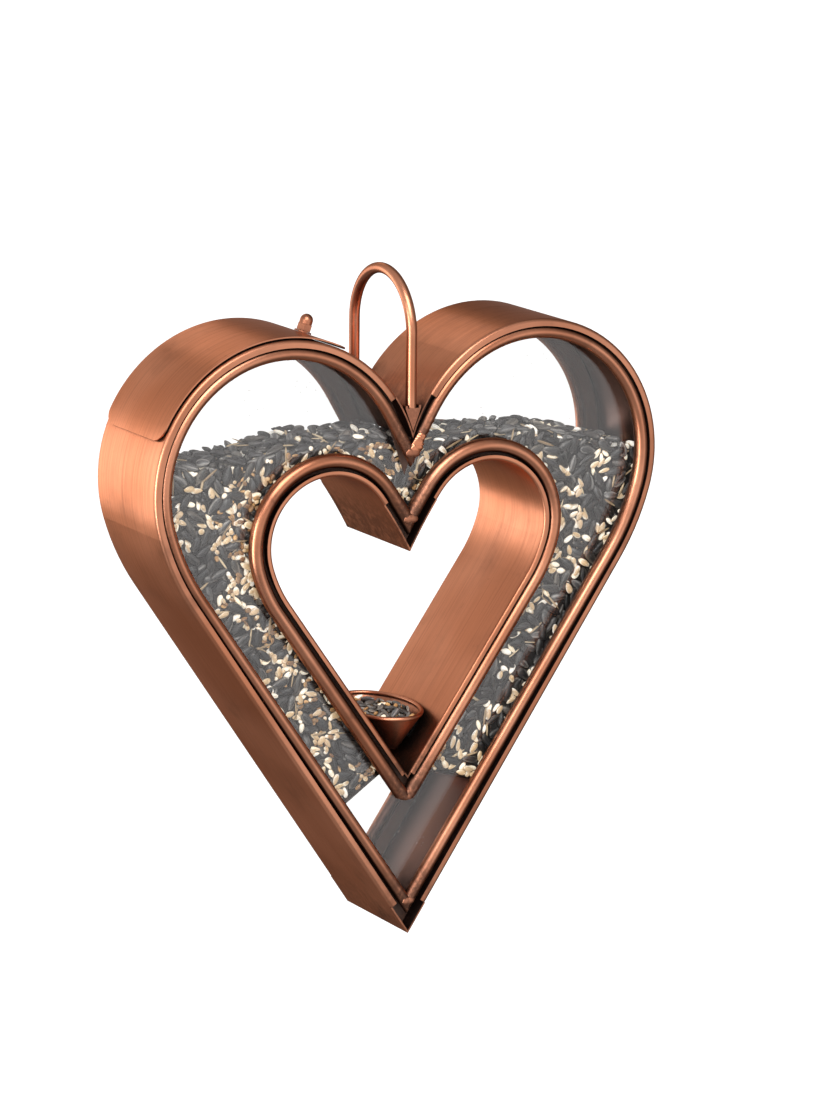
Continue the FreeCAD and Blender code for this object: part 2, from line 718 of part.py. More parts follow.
def make_cap_nut():
    """M5 domed cap nut: a chamfered hexagon, a dome and a blind bore."""
    body = stud_body("cap_nut")
    hexagon_sketch = new_sketch(body, "Hexagon", "XY_Plane", NUT_BASE)
    hexagon(hexagon_sketch, "nut_flats", "hexagon")
    pad(body, hexagon_sketch, "nut_hex_height", "HexagonPad")
    chamfer = new_sketch(body, "CornerCuts", "XZ_Plane")
    reach = "(nut_flats / 2 / cos(30) + 0.2)"
    for name, level, sign in (("low", NUT_BASE, "+"), ("high", f"({NUT_BASE} + nut_hex_height)", "-")):
        triangle = [("(nut_flats / 2)", level), (reach, level), (reach, f"({level} {sign} nut_corner_cut)")]
        outline(chamfer, triangle, name=name)
    revolve(body, chamfer, "CornerGroove", groove=True)
    dome = new_sketch(body, "Dome", "XZ_Plane")
    corners = [("0", NUT_BASE), ("dome_radius", NUT_BASE),
               ("dome_radius", f"({NUT_BASE} + nut_height - dome_radius)"),
               ("0", f"({NUT_BASE} + nut_height)")]
    outline(dome, corners, {2: ("dome_radius", 1, False)})
    revolve(body, dome, "DomeTurned")
    bore = new_sketch(body, "Bore", "XY_Plane", NUT_BASE)
    circle(bore, "0", "0", "(stud_diameter / 2 + thread_play)")
    pocket(body, bore, "BoreCut", length="nut_bore_depth", forward=True)
    return body


def make_base_nut():
    """Plain hexagon nut inside the band, which clamps the stud's collar."""
    body = stud_body("stud_base_nut")
    sketch = new_sketch(body, "Hexagon", "XY_Plane", f"({BASE_NUT_TOP} - base_nut_height)")
    hexagon(sketch, "nut_flats", "hexagon")
    circle(sketch, "0", "0", "(stud_diameter / 2 + thread_play)", name="bore")
    pad(body, sketch, "base_nut_height", "HexagonPad")
    return body


def make_washer():
    body = stud_body("lid_washer")
    sketch = new_sketch(body, "Ring", "XY_Plane", WASHER_BASE)
    circle(sketch, "0", "0", "washer_radius", name="rim")
    circle(sketch, "0", "0", "(stud_diameter / 2 + thread_play)", name="bore")
    pad(body, sketch, "washer_thickness", "RingPad")
    return body


def make_left_outer_band(right_band):
    """The right band's mirror image, cut through for filling and for the lid's stud."""
    plain = mirrored_copy("LeftBandBlank", right_band, V(1, 0, 0))
    opening = DOC.addObject("Part::Box", "FillOpening")
    bind(opening, "Length", "fill_opening_length")
    bind(opening, "Width", "fill_opening_width")
    bind(opening, "Height", "40")
    angle = value("fill_opening_angle")
    opening.Placement = FreeCAD.Placement(V(), FreeCAD.Rotation(V(0, 1, 0), angle))
    bind(opening, ".Placement.Rotation.Angle", "fill_opening_angle")
    reach = "(lobe_radius - 20)"
    along = "(fill_opening_length / 2)"
    turn = "fill_opening_angle"
    bind(opening, ".Placement.Base.x", f"-lobe_offset + {reach} * sin({turn}) - {along} * cos({turn})")
    bind(opening, ".Placement.Base.y", "-fill_opening_width / 2")
    bind(opening, ".Placement.Base.z", f"{reach} * cos({turn}) + {along} * sin({turn}) - {HANG_DROP}")
    DOC.recompute()
    upright = [n + 1 for n, edge in enumerate(opening.Shape.Edges) if abs(edge.Length - 40) < 1e-6]
    rounded = DOC.addObject("Part::Fillet", "RoundedOpening")
    rounded.Base = opening
    corner = value("fill_opening_corner")
    rounded.Edges = [(n, corner, corner) for n in upright]
    hole = DOC.addObject("Part::Cylinder", "StudHoleTool")
    bind(hole, "Radius", "stud_diameter / 2 + stud_hole_play")
    bind(hole, "Height", "30")
    hole.Placement = FreeCAD.Placement(V(), FreeCAD.Rotation(V(0, 1, 0), value("stud_angle")))
    bind(hole, ".Placement.Rotation.Angle", "stud_angle")
    start = "(lobe_radius - 15)"
    bind(hole, ".Placement.Base.x", f"-lobe_offset + {start} * sin(stud_angle)")
    bind(hole, ".Placement.Base.z", f"{start} * cos(stud_angle) - {HANG_DROP}")
    tools = DOC.addObject("Part::MultiFuse", "LeftBandTools")
    tools.Shapes = [rounded, hole]
    band = DOC.addObject("Part::Cut", "left_outer_band")
    band.Label = "left_outer_band"
    band.Base = plain
    band.Tool = tools
    return band


def make_hopper_seed():
    """The loose seed in the hopper: between the bands and windows, up to a sloping level."""
    body = new_body("hopper_seed")
    ring = new_sketch(body, "Ring", "XZ_Plane")
    half_ring(ring, *between_bands("seed_gap"))
    mirror_halves(body, pad(body, ring, "seed_width", "Fill", symmetric=True))
    level = new_sketch(body, "Level", "XZ_Plane")
    reach = "seed_level_reach"
    outline(level, [(f"-{reach}", "seed_left_level"), (reach, "seed_right_level"), (reach, THROUGH),
                    (f"-{reach}", THROUGH)])
    pocket(body, level, "LevelCut", symmetric=True)
    below = new_sketch(body, "BelowFloors", "XZ_Plane")
    corners = []
    for side, sign in (("right", ""), ("left", "-")):
        start = f"{side}_floor_start"
        rise = f"({side}_floor_height + seed_gap / cos({side}_floor_slope))"
        drop = f"(seed_floor_reach - {start}) * tan({side}_floor_slope)"
        corners.append([(f"{sign}{start}", rise), (f"{sign}seed_floor_reach", f"({rise} - {drop})")])
    right, left = corners
    outline(below, [*right, ("seed_floor_reach", f"-{BEYOND}"), ("-seed_floor_reach", f"-{BEYOND}"),
                    *left[::-1]])
    pocket(body, below, "BelowFloorsCut", symmetric=True)
    return body


def make_cup_seed():
    body = new_body("cup_seed", y="cup_shift")
    top = "(cup_rim_height - cup_seed_drop)"
    bottom = "(cup_floor_height + cup_wall + seed_gap)"
    share = f"(({top} - cup_floor_height) / (cup_rim_height - cup_floor_height))"
    margin = "(cup_wall + rim_roll_radius)"
    sides = oval_pair(
        body, "Heap", f"(cup_floor_half_width - {margin})", f"(cup_floor_half_depth - {margin})", bottom,
        f"(cup_floor_half_width + (cup_rim_half_width - cup_floor_half_width) * {share} - {margin})",
        f"(cup_floor_half_depth + (cup_rim_half_depth - cup_floor_half_depth) * {share} - {margin})", top)
    loft(body, "PartDesign::AdditiveLoft", sides, "Heap")
    return body


def make_tip_solder(label, side):
    """The solder that closes the cut tip of the inner tubes: a shallow half-ellipsoid."""
    cap = DOC.addObject("Part::Ellipsoid", label)
    cap.Label = label
    bind(cap, "Radius1", "solder_height")
    bind(cap, "Radius2", "inner_bead_radius")
    bind(cap, "Radius3", "inner_bead_radius")
    cap.Angle1 = -90
    cap.Angle2 = 0
    bind(cap, ".Placement.Base.y", f"{side}inner_bead_depth")
    bind(cap, ".Placement.Base.z", f"{BEAD_TIP} - thread_play - {HANG_DROP}")
    return cap


def build():
    outer_band = make_outer_band()
    inner_band = make_inner_band()
    outer_path = HalfHeart("", "(-bead_inset)", "bead_side_slope", "bead_notch_slope")
    outer_bead = make_bead("front_right_outer_bead", outer_path, "bead_radius", "bead_depth", "0")
    inner_bead = make_bead("front_right_inner_bead", inner_bead_heart(), "inner_bead_radius",
                           "inner_bead_depth", "-inner_height")
    blunt_tip(inner_bead)
    parts = [outer_band, inner_band, outer_bead, inner_bead]
    parts.append(make_left_outer_band(outer_band))
    parts.append(mirrored_copy("left_inner_band", inner_band, V(1, 0, 0)))
    for ring, bead in (("outer", outer_bead), ("inner", inner_bead)):
        front_left = mirrored_copy(f"front_left_{ring}_bead", bead, V(1, 0, 0))
        parts.append(front_left)
        parts.append(mirrored_copy(f"rear_right_{ring}_bead", bead, V(0, 1, 0)))
        parts.append(mirrored_copy(f"rear_left_{ring}_bead", front_left, V(0, 1, 0)))
    parts += make_windows()
    parts += [make_floor("left_hopper_floor", "left"), make_floor("right_hopper_floor", "right")]
    parts.append(make_cup())
    gusset = make_gusset()
    parts += [make_hanger(), gusset, mirrored_copy("rear_hanger_gusset", gusset, V(0, 1, 0))]
    parts += [make_lid(), make_stud(), make_cap_nut(), make_base_nut(), make_washer()]
    parts += [make_hopper_seed(), make_cup_seed()]
    parts += [make_tip_solder("front_tip_solder", "-"), make_tip_solder("rear_tip_solder", "")]
    return parts


def check(parts):
    """Stops unless every object computed and every sub-part is a valid, non-empty shape."""
    DOC.recompute()
    for thing in DOC.Objects:
        if "Invalid" in thing.State or "Error" in thing.State:
            raise RuntimeError(f"{thing.Label}: {thing.State}")
        if thing.isDerivedFrom("Sketcher::SketchObject") and not thing.FullyConstrained:
            raise RuntimeError(f"{thing.Label} is not fully constrained")
    for part in parts:
        if part.Shape.isNull() or not part.Shape.isValid() or part.Shape.Volume <= 0:
            raise RuntimeError(f"{part.Label} has no valid shape")
        print(f"{part.Label}: {len(part.Shape.Solids)} solid, {part.Shape.Volume / 1000:.2f} cm3")


def export(parts):
    os.makedirs("parts", exist_ok=True)
    for part in parts:
        part.Shape.exportStep(f"parts/{part.Label}.step")


PARTS = build()
check(PARTS)
export(PARTS)
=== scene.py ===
"""Looks of the hanging bird feeder: materials, loose seed, solder, light and camera, in metres."""

import math

import bmesh
import bpy
import numpy as np
from mathutils import Matrix, Vector, noise
from mathutils.bvhtree import BVHTree


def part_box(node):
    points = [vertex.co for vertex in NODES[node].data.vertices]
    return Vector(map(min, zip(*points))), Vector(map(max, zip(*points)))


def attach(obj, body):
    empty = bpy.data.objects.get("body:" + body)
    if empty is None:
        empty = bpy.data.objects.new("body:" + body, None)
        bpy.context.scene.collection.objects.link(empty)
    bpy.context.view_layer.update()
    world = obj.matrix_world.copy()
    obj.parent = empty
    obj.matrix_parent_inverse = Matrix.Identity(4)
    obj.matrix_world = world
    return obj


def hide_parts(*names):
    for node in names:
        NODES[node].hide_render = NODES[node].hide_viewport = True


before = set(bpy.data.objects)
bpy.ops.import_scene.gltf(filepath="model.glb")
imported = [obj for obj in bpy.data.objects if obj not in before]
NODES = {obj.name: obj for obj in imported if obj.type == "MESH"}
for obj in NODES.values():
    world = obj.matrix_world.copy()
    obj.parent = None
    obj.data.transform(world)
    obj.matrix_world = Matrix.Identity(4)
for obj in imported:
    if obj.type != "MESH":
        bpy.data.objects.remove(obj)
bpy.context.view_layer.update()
MM = 0.001
HEART_CENTRE = (0.0, 0.0, -0.17)


# ---------------------------------------------------------------- shader helpers

class Shade:
    """A material, with short ways to add its nodes and join them."""

    def __init__(self, name):
        self.material = bpy.data.materials.new(name)
        self.material.use_nodes = True
        self.tree = self.material.node_tree
        self.tree.nodes.clear()
        self.output = self.tree.nodes.new("ShaderNodeOutputMaterial")

    def node(self, kind, settings=None, inputs=None):
        """A node with its settings and inputs; an input may be a number, a colour or another's output."""
        made = self.tree.nodes.new(kind)
        for key, setting in (settings or {}).items():
            setattr(made, key, setting)
        for key, given in (inputs or {}).items():
            socket = made.inputs[key]
            if isinstance(given, bpy.types.NodeSocket):
                self.tree.links.new(given, socket)
            else:
                socket.default_value = given
        return made

    def place(self):
        """Where a point lies, in the coordinates of its own object."""
        return self.node("ShaderNodeTexCoord").outputs["Object"]

    def scaled(self, vector, scale):
        mapping = self.node("ShaderNodeMapping", None, {"Vector": vector, "Scale": scale})
        return mapping.outputs["Vector"]

    def noise(self, vector, scale, detail=2.0, roughness=0.5, distortion=0.0):
        made = self.node("ShaderNodeTexNoise", None, {"Vector": vector, "Scale": scale, "Detail": detail,
                                                      "Roughness": roughness, "Distortion": distortion})
        return made.outputs["Fac"]

    def span(self, value, low, high, to_low=0.0, to_high=1.0):
        """The value mapped smoothly from one range to another, and held at its ends."""
        made = self.node("ShaderNodeMapRange", {"interpolation_type": "SMOOTHSTEP"},
                         {"Value": value, "From Min": low, "From Max": high, "To Min": to_low,
                          "To Max": to_high})
        return made.outputs["Result"]

    def maths(self, operation, first, second=0.0):
        """One operation on two values, such as ADD or MULTIPLY."""
        made = self.node("ShaderNodeMath", {"operation": operation}, {0: first, 1: second})
        return made.outputs["Value"]

    def mix(self, factor, first, second):
        """From the first colour to the second; a colour is three numbers or another node's output."""
        made = self.node("ShaderNodeMix", {"data_type": "RGBA"}, {"Factor": factor})
        for socket, given in ((made.inputs[6], first), (made.inputs[7], second)):
            if isinstance(given, bpy.types.NodeSocket):
                self.tree.links.new(given, socket)
            else:
                socket.default_value = (*given, 1.0)
        return made.outputs[2]

    def openness(self, reach, samples=6):
        """How open the surface is within this reach: 1 in the open, 0 where it is closed in."""
        return self.node("ShaderNodeAmbientOcclusion", {"samples": samples, "only_local": False},
                         {"Distance": reach}).outputs["AO"]

    def contact_shade(self):
        """How closely other grains crowd in, for painted shade between them: highest where they touch."""
        return self.span(self.openness(reach=0.0022, samples=5), 0.25, 0.80, 0.85, 0.0)

    def bump(self, height, strength, distance, normal=None):
        inputs = {"Height": height, "Strength": strength, "Distance": distance}
        if normal is not None:
            inputs["Normal"] = normal
        return self.node("ShaderNodeBump", None, inputs).outputs["Normal"]

    def finish(self, shader):
        """The finished material, with this shader as its surface."""
        self.tree.links.new(shader, self.output.inputs["Surface"])
        return self.material


def principled(shade, inputs):
    """The output of a Principled shader with these inputs."""
    return shade.node("ShaderNodeBsdfPrincipled", None, inputs).outputs["BSDF"]


# ---------------------------------------------------------------- copper

# Colours, among them the painted shade inside the hopper and a patina that also paints shade into corners,
# the brushing's noise scale along each axis, how far the hopper's walls shade each other, and the depths
# between which a band's fold turns into its flange.
COPPER_BRIGHT = (0.76, 0.325, 0.190)
COPPER_MID = (0.56, 0.210, 0.110)
COPPER_DARK = (0.23, 0.092, 0.056)
COPPER_GRAZING = (0.72, 0.46, 0.36, 1.0)
COPPER_PAINTED_SHADE = (0.115, 0.085, 0.080)
PATINA_AND_SHADE = (0.036, 0.023, 0.019)
BRUSH_SCALE = (14.0, 900.0, 14.0)
HOPPER_REACH = 0.045
FOLD_DEPTH = (0.0352, 0.0372)


def facing_hopper(s):
    """1 on faces that look in towards the heart's centre, 0 on faces that look out."""
    geometry = s.node("ShaderNodeNewGeometry")
    from_heart = s.node("ShaderNodeVectorMath", {"operation": "SUBTRACT"},
                        {0: geometry.outputs["Position"], 1: HEART_CENTRE}).outputs["Vector"]
    outward = s.node("ShaderNodeVectorMath", {"operation": "DOT_PRODUCT"},
                     {0: geometry.outputs["Normal"], 1: from_heart}).outputs["Value"]
    return s.span(outward, -0.015, -0.003, 1.0, 0.0)


def copper(name, patina, blotch_scale, rough, brushed=1.0, edge_dark=0.0, crevices=1.0, crevice_reach=0.006,
           aged=0.0, rear_dark=0.0, middle_dark=0.0, inner_shade=0.0):
    """Antique copper: brushed along its length, mottled, dark along its folds, and with painted shade in
    corners.

    patina is how dark its blotches are, and aged darkens it all. crevices paints shade into corners, as far
    as crevice_reach, and edge_dark darkens the folds. rear_dark paints shade towards the back, middle_dark
    towards the feeder's middle plane, and lining on the faces that look towards the heart's centre. The
    hopper's walls also paint shade on each other.
    """
    s = Shade(name)
    place = s.place()
    axes = s.node("ShaderNodeSeparateXYZ", None, {"Vector": place})
    y = axes.outputs["Y"]
    cloud = s.noise(place, blotch_scale, 4.0, 0.55)
    broad = s.noise(place, blotch_scale * 0.45, 2.0, 0.5)
    fine_cloud = s.noise(place, blotch_scale * 9, 5.0, 0.65)
    streak = s.noise(s.scaled(place, BRUSH_SCALE), 1.0, 3.0, 0.6)

    tone = s.mix(s.span(broad, 0.32, 0.68), COPPER_MID, COPPER_BRIGHT)
    tone = s.mix(s.span(cloud, 0.45, 0.85, 0.0, 0.5), tone, COPPER_DARK)
    tone = s.mix(s.span(streak, 0.40, 0.80, 0.0, 0.32 * brushed), tone, COPPER_DARK)
    tone = s.mix(s.span(fine_cloud, 0.2, 0.7, aged, aged * 0.6), tone, COPPER_DARK)
    # Painted shade: darker towards the back, by rear_dark.
    tone = s.mix(s.span(y, -0.012, 0.010, 0.0, rear_dark), tone, COPPER_PAINTED_SHADE)
    # Painted shade on the faces that look in towards the heart's centre, by lining.
    tone = s.mix(s.maths("MULTIPLY", facing_hopper(s), inner_shade), tone, COPPER_PAINTED_SHADE)
    tone = s.mix(s.span(fine_cloud, 0.60, 0.80, 0.0, 0.30), tone, COPPER_DARK)
    # Painted shade where the hopper's walls close each other in, as far as HOPPER_REACH.
    tone = s.mix(s.span(s.openness(HOPPER_REACH), 0.20, 0.50, 0.72, 0.0), tone, COPPER_PAINTED_SHADE)

    # Painted shade: crevice darkens corners and middle the feeder's middle plane; grime adds them to the
    # darkened folds and the real patina blotches.
    crevice = s.span(s.openness(crevice_reach), 0.30, 0.80, crevices, 0.0)
    edge = s.span(s.maths("ABSOLUTE", y), *FOLD_DEPTH, 0.0, edge_dark)
    middle = s.span(s.maths("ABSOLUTE", axes.outputs["X"]), 0.003, 0.030, middle_dark, 0.0)
    shade_and_patina = s.maths("MULTIPLY", s.maths("ADD", edge, crevice), s.span(fine_cloud, 0.3, 0.6, 0.55, 1.0))
    shade_and_patina = s.maths("ADD", shade_and_patina, s.span(cloud, 0.60, 0.80, 0.0, patina))
    shade_and_patina = s.maths("ADD", shade_and_patina, s.maths("MULTIPLY", middle, s.span(fine_cloud, 0.25, 0.6, 0.4, 1.0)))
    shade_and_patina = s.span(shade_and_patina, 0.0, 1.0)
    tone = s.mix(shade_and_patina, tone, PATINA_AND_SHADE)

    rough_here = s.maths("ADD", s.span(streak, 0.2, 0.8, rough - 0.04, rough + 0.06),
                       s.maths("MULTIPLY", shade_and_patina, 0.2))
    normal = s.bump(s.noise(place, 14.0, 1.0, 0.4), 0.25, 0.004)
    normal = s.bump(streak, 0.06 * brushed + 0.01, 0.0004, normal)
    normal = s.bump(fine_cloud, 0.10, 0.0004, normal)
    return s.finish(principled(s, {"Base Color": tone, "Metallic": 1.0, "Roughness": rough_here,
                                   "Normal": normal, "Specular Tint": COPPER_GRAZING,
                                   "Coat Weight": 0.10, "Coat Roughness": 0.2}))


def dress(material, *nodes):
    """Gives CAD nodes a material in place of their own."""
    for node in nodes:
        mesh = NODES[node].data
        mesh.materials.clear()
        mesh.materials.append(material)


# ---------------------------------------------------------------- clear windows

PLASTIC_INDEX = 1.5


def clear_plastic():
    """Clear sheet: mostly transparent, with a faint grey haze, reflections, scuffs and stray specks.

    Rays pass straight through the sheet, so both of its faces reflect as they would from outside.
    """
    s = Shade("clear_plastic")
    place = s.place()
    smear = s.noise(s.scaled(place, (18.0, 18.0, 7.0)), 1.0, 4.0, 0.6, 0.6)
    scuff = s.noise(s.scaled(place, (900.0, 900.0, 90.0)), 1.0, 3.0, 0.7)
    haze = s.maths("ADD", s.span(smear, 0.35, 0.75, 0.002, 0.009), s.span(scuff, 0.66, 0.82, 0.0, 0.006))
    dirt = s.noise(place, 850.0, 0.0, 0.0)
    spread = s.noise(place, 26.0, 1.0, 0.5)
    dirt = s.maths("MULTIPLY", s.span(dirt, 0.80, 0.84), s.span(spread, 0.50, 0.62, 0.0, 0.5))
    veil_tone = s.mix(dirt, (0.84, 0.80, 0.78), (0.05, 0.05, 0.05))
    through = s.node("ShaderNodeBsdfTransparent", None, {"Color": (0.985, 0.985, 0.982, 1.0)})
    veil = s.node("ShaderNodeBsdfDiffuse", None, {"Color": veil_tone})
    gloss = s.node("ShaderNodeBsdfGlossy", None, {"Color": (1.0, 0.97, 0.96, 1.0), "Roughness": 0.03,
                                                  "Normal": s.bump(smear, 0.05, 0.001)})
    body = s.node("ShaderNodeMixShader", None, {0: s.maths("ADD", haze, dirt), 1: through.outputs[0],
                                                2: veil.outputs[0]})
    leaving = s.node("ShaderNodeNewGeometry").outputs["Backfacing"]
    index = s.span(leaving, 0.0, 1.0, PLASTIC_INDEX, 1 / PLASTIC_INDEX)
    fresnel = s.node("ShaderNodeFresnel", None, {"IOR": index})
    mirror = s.node("ShaderNodeMixShader", None, {0: fresnel.outputs[0], 1: body.outputs[0],
                                                  2: gloss.outputs[0]})
    return s.finish(mirror.outputs[0])


# ---------------------------------------------------------------- seed materials

def grain_marks(s):
    """Each grain's own tone, how far along it a point lies, and its stripes."""
    tint = s.node("ShaderNodeAttribute", {"attribute_name": "tint"}).outputs["Color"]
    parts = s.node("ShaderNodeSeparateColor", None, {"Color": tint})
    return parts.outputs["Red"], parts.outputs["Green"], parts.outputs["Blue"]


def seed_husk(name, dark, light, stripe):
    """Seed shell: each seed has its own tone, with paler stripes along it and painted shade where grains
    touch.
    """
    s = Shade(name)
    own, along, line = grain_marks(s)
    grain = s.noise(s.place(), 900.0, 3.0, 0.6)
    tone = s.mix(own, dark, light)
    tone = s.mix(s.maths("MULTIPLY", s.span(line, 0.45, 0.75), s.span(own, 0.45, 1.0, 0.0, 0.60)), tone,
                 stripe)
    tone = s.mix(s.span(along, 0.86, 1.0, 0.0, 0.35), tone, stripe)
    tone = s.mix(s.span(grain, 0.4, 0.8, 0.0, 0.35), tone, dark)
    # Painted shade where other grains touch this one.
    tone = s.mix(s.contact_shade(), tone, (0.004, 0.004, 0.004))
    normal = s.bump(grain, 0.25, 0.0006)
    return s.finish(principled(s, {"Base Color": tone, "Roughness": 0.42, "Normal": normal,
                                   "Specular IOR Level": 0.55}))


def seed_flesh(name, pale, deep, edge):
    """Hulled kernels, chips and husk flakes: pale, waxy and uneven, with painted shade where grains touch and
    a faint painted glow of their own.
    """
    s = Shade(name)
    own, along, _ = grain_marks(s)
    grain = s.noise(s.place(), 700.0, 4.0, 0.6)
    tone = s.mix(own, pale, deep)
    tone = s.mix(s.span(along, 0.78, 1.0, 0.0, 0.6), tone, edge)
    tone = s.mix(s.span(grain, 0.55, 0.80, 0.0, 0.4), tone, edge)
    # Painted shade where other grains touch, in the edge colour that also marks tips and flecks.
    tone = s.mix(s.contact_shade(), tone, edge)
    normal = s.bump(grain, 0.3, 0.0005)
    # Painted light: the grains glow faintly in their own tone.
    return s.finish(principled(s, {"Base Color": tone, "Roughness": 0.45, "Normal": normal,
                                   "Emission Color": tone, "Emission Strength": 0.42}))


# ---------------------------------------------------------------- loose seed

def egg(rings, spokes, taper, flat, bend=0.0):
    """A unit seed along X: taper narrows its +X end, flat sharpens its rim, bend curves it.

    Returns its vertices, its faces, and for each vertex how far along it lies and its stripe.
    """
    points, marks = [(-1.0, 0.0, 0.0)], [(0.0, 0.0)]
    for ring in range(1, rings):
        t = -math.cos(math.pi * ring / rings)
        width = math.sqrt(1 - t * t) * (1 - taper * t)
        for spoke in range(spokes):
            turn = 2 * math.pi * spoke / spokes
            lift = math.copysign(abs(math.sin(turn)) ** flat, math.sin(turn))
            points.append((t, width * math.cos(turn), width * lift + bend * t * t))
            marks.append(((t + 1) / 2, spoke % 2))
    points.append((1.0, 0.0, bend))
    marks.append((1.0, 0.0))
    faces = []
    for spoke in range(spokes):
        faces.append((0, 1 + (spoke + 1) % spokes, 1 + spoke))
    for ring in range(rings - 2):
        for spoke in range(spokes):
            low, high = 1 + ring * spokes, 1 + (ring + 1) * spokes
            after = (spoke + 1) % spokes
            faces.append((low + spoke, low + after, high + after, high + spoke))
    last = len(points) - 1
    for spoke in range(spokes):
        faces.append((last, last - spokes + spoke, last - spokes + (spoke + 1) % spokes))
    return np.array(points), faces, np.array(marks)


def heap_drop(x):
    """How far the heap's surface lies under the CAD solid's level, which it leaves towards both ends."""
    stations = np.array((-150, -120, -94, -61, -30, 100, 127, 143, 165)) * MM
    drops = np.array((16, 13.5, 9.5, 2, 0.5, 0, 4.5, 8.5, 13)) * MM
    return np.interp(x, stations, drops)


class Kind:
    """One kind of grain: its shape, its size in millimetres, and how far it tilts and rolls in degrees."""

    def __init__(self, name, shape, length, width, thickness, tilt, roll, material):
        self.name, self.shape, self.material = name, shape, material
        self.half = np.array([length, width, thickness]) / 2 * MM
        self.tilt, self.roll = math.radians(tilt), math.radians(roll)


def turned(turn, tilt, roll):
    """A rotation: turn about the bed's normal, tilt of the long axis out of the bed, roll about it."""
    matrix = Matrix.Rotation(turn, 3, "Z") @ Matrix.Rotation(tilt, 3, "Y") @ Matrix.Rotation(roll, 3, "X")
    return np.array(matrix)


class Bed:
    """A grid of heights over a wall, floor or heap on which grains come to rest one by one.

    STEP is a cell's size, and BLOCKED the height of a cell where none may lie. Grains vary in length, width
    and thickness by SIZE_SPREAD, a share of each, within SIZE_LIMITS.
    """

    STEP = 0.7 * MM
    BLOCKED = 1.0
    SIZE_SPREAD = (0.09, 0.10, 0.12)
    SIZE_LIMITS = (0.7, 1.35)

    def __init__(self, origin, across, along, up, size):
        self.origin, self.axes = np.array(origin), np.array([across, along, up], float).T
        self.count = (int(size[0] / self.STEP) + 1, int(size[1] / self.STEP) + 1)
        self.height = np.zeros(self.count)
        self.base = np.zeros(self.count)
        self.open = np.zeros(self.count, bool)
        self.grains = []

    def world(self, i, j, height=0.0):
        return self.origin + self.axes @ np.array([i * self.STEP, j * self.STEP, height])

    def struck(self, tree, start, reach):
        """How far a ray from start, far above the bed, goes down to the tree at every cell, or inf."""
        down = Vector(-self.axes[:, 2])
        found = np.full(self.count, np.inf)
        for i in range(self.count[0]):
            for j in range(self.count[1]):
                distance = tree.ray_cast(Vector(self.world(i, j, start)), down, reach)[3]
                if distance is not None:
                    found[i, j] = distance
        return found

    def rest(self, cell, rotation, half):
        """Where a grain at this cell comes to rest: its height, and its top over the cells it covers."""
        form = rotation @ np.diag(1 / half ** 2) @ rotation.T
        reach = int(np.ceil(half.max() / self.STEP))
        i0, i1 = max(cell[0] - reach, 0), min(cell[0] + reach + 1, self.count[0])
        j0, j1 = max(cell[1] - reach, 0), min(cell[1] + reach + 1, self.count[1])
        u = (np.arange(i0, i1) - cell[0])[:, None] * self.STEP
        v = (np.arange(j0, j1) - cell[1])[None, :] * self.STEP
        middle = -(form[0, 2] * u + form[1, 2] * v) / form[2, 2]
        rest = form[0, 0] * u * u + 2 * form[0, 1] * u * v + form[1, 1] * v * v - 1
        root = middle ** 2 - rest / form[2, 2]
        covered = root > 0
        root = np.sqrt(np.where(covered, root, 0))
        ground = self.height[i0:i1, j0:j1]
        lift = np.max((ground - (middle - root))[covered])
        return lift, (slice(i0, i1), slice(j0, j1)), covered, middle + root

    def drop(self, kind, size, rng, cells, tries, limit):
        """Lets a grain come to rest at the lowest of several random cells; False if all are too high.

        Heights count from the bed's base, the surface before the first grain.
        """
        best = None
        rotation = turned(rng.uniform(0, 2 * math.pi), rng.normal(0, kind.tilt), rng.normal(0, kind.roll))
        half = kind.half * size
        for pick in rng.integers(0, len(cells), tries):
            found = self.rest(cells[pick], rotation, half)
            rise = found[0] - self.base[tuple(cells[pick])]
            if best is None or rise < best[0]:
                best = (rise, cells[pick], found)
        rise, cell, (lift, area, covered, top) = best
        if rise > limit:
            return False
        ground = self.height[area]
        ground[covered] = np.maximum(ground[covered], (lift + top)[covered])
        self.grains.append((kind, self.world(*cell, lift), self.axes @ rotation, half))
        return True

    def fill(self, mixture, rng, tries, limit, misses, where):
        """Drops grains until this many in a row find no place low enough.

        where gives, by a kind's name, the cells in which that kind lies; other kinds lie anywhere.
        """
        everywhere = np.argwhere(self.open)
        places = {name: np.argwhere(area) for name, area in where.items()}
        failed = 0
        while failed < misses:
            kind = mixture(rng)
            cells = places.get(kind.name, everywhere)
            if len(cells) == 0:
                cells = everywhere
            size = np.array([rng.normal(1, spread) for spread in self.SIZE_SPREAD]).clip(*self.SIZE_LIMITS)
            failed = 0 if self.drop(kind, size, rng, cells, tries, limit) else failed + 1


def grain_pieces(prefix, grains, rng, replaced):
    """One mesh for each kind of grain in the list, which stands for a CAD node."""
    for kind in sorted({g[0] for g in grains}, key=lambda k: k.name):
        points, faces, marks = kind.shape
        mine = [g for g in grains if g[0] is kind]
        vertices, colours = [], []
        for _, place, rotation, half in mine:
            vertices.append(place + (points * half) @ rotation.T)
            own = np.full((len(points), 1), rng.random())
            colours.append(np.hstack([own, marks, np.ones((len(points), 1))]))
        polygons = [tuple(n * len(points) + corner for corner in face)
                    for n in range(len(mine)) for face in faces]
        mesh = bpy.data.meshes.new(f"{prefix}_{kind.name}")
        mesh.from_pydata(np.concatenate(vertices).tolist(), [], polygons)
        layer = mesh.color_attributes.new("tint", "FLOAT_COLOR", "POINT")
        layer.data.foreach_set("color", np.concatenate(colours).ravel())
        mesh.shade_smooth()
        mesh.materials.append(kind.material)
        placed(mesh, replaced)


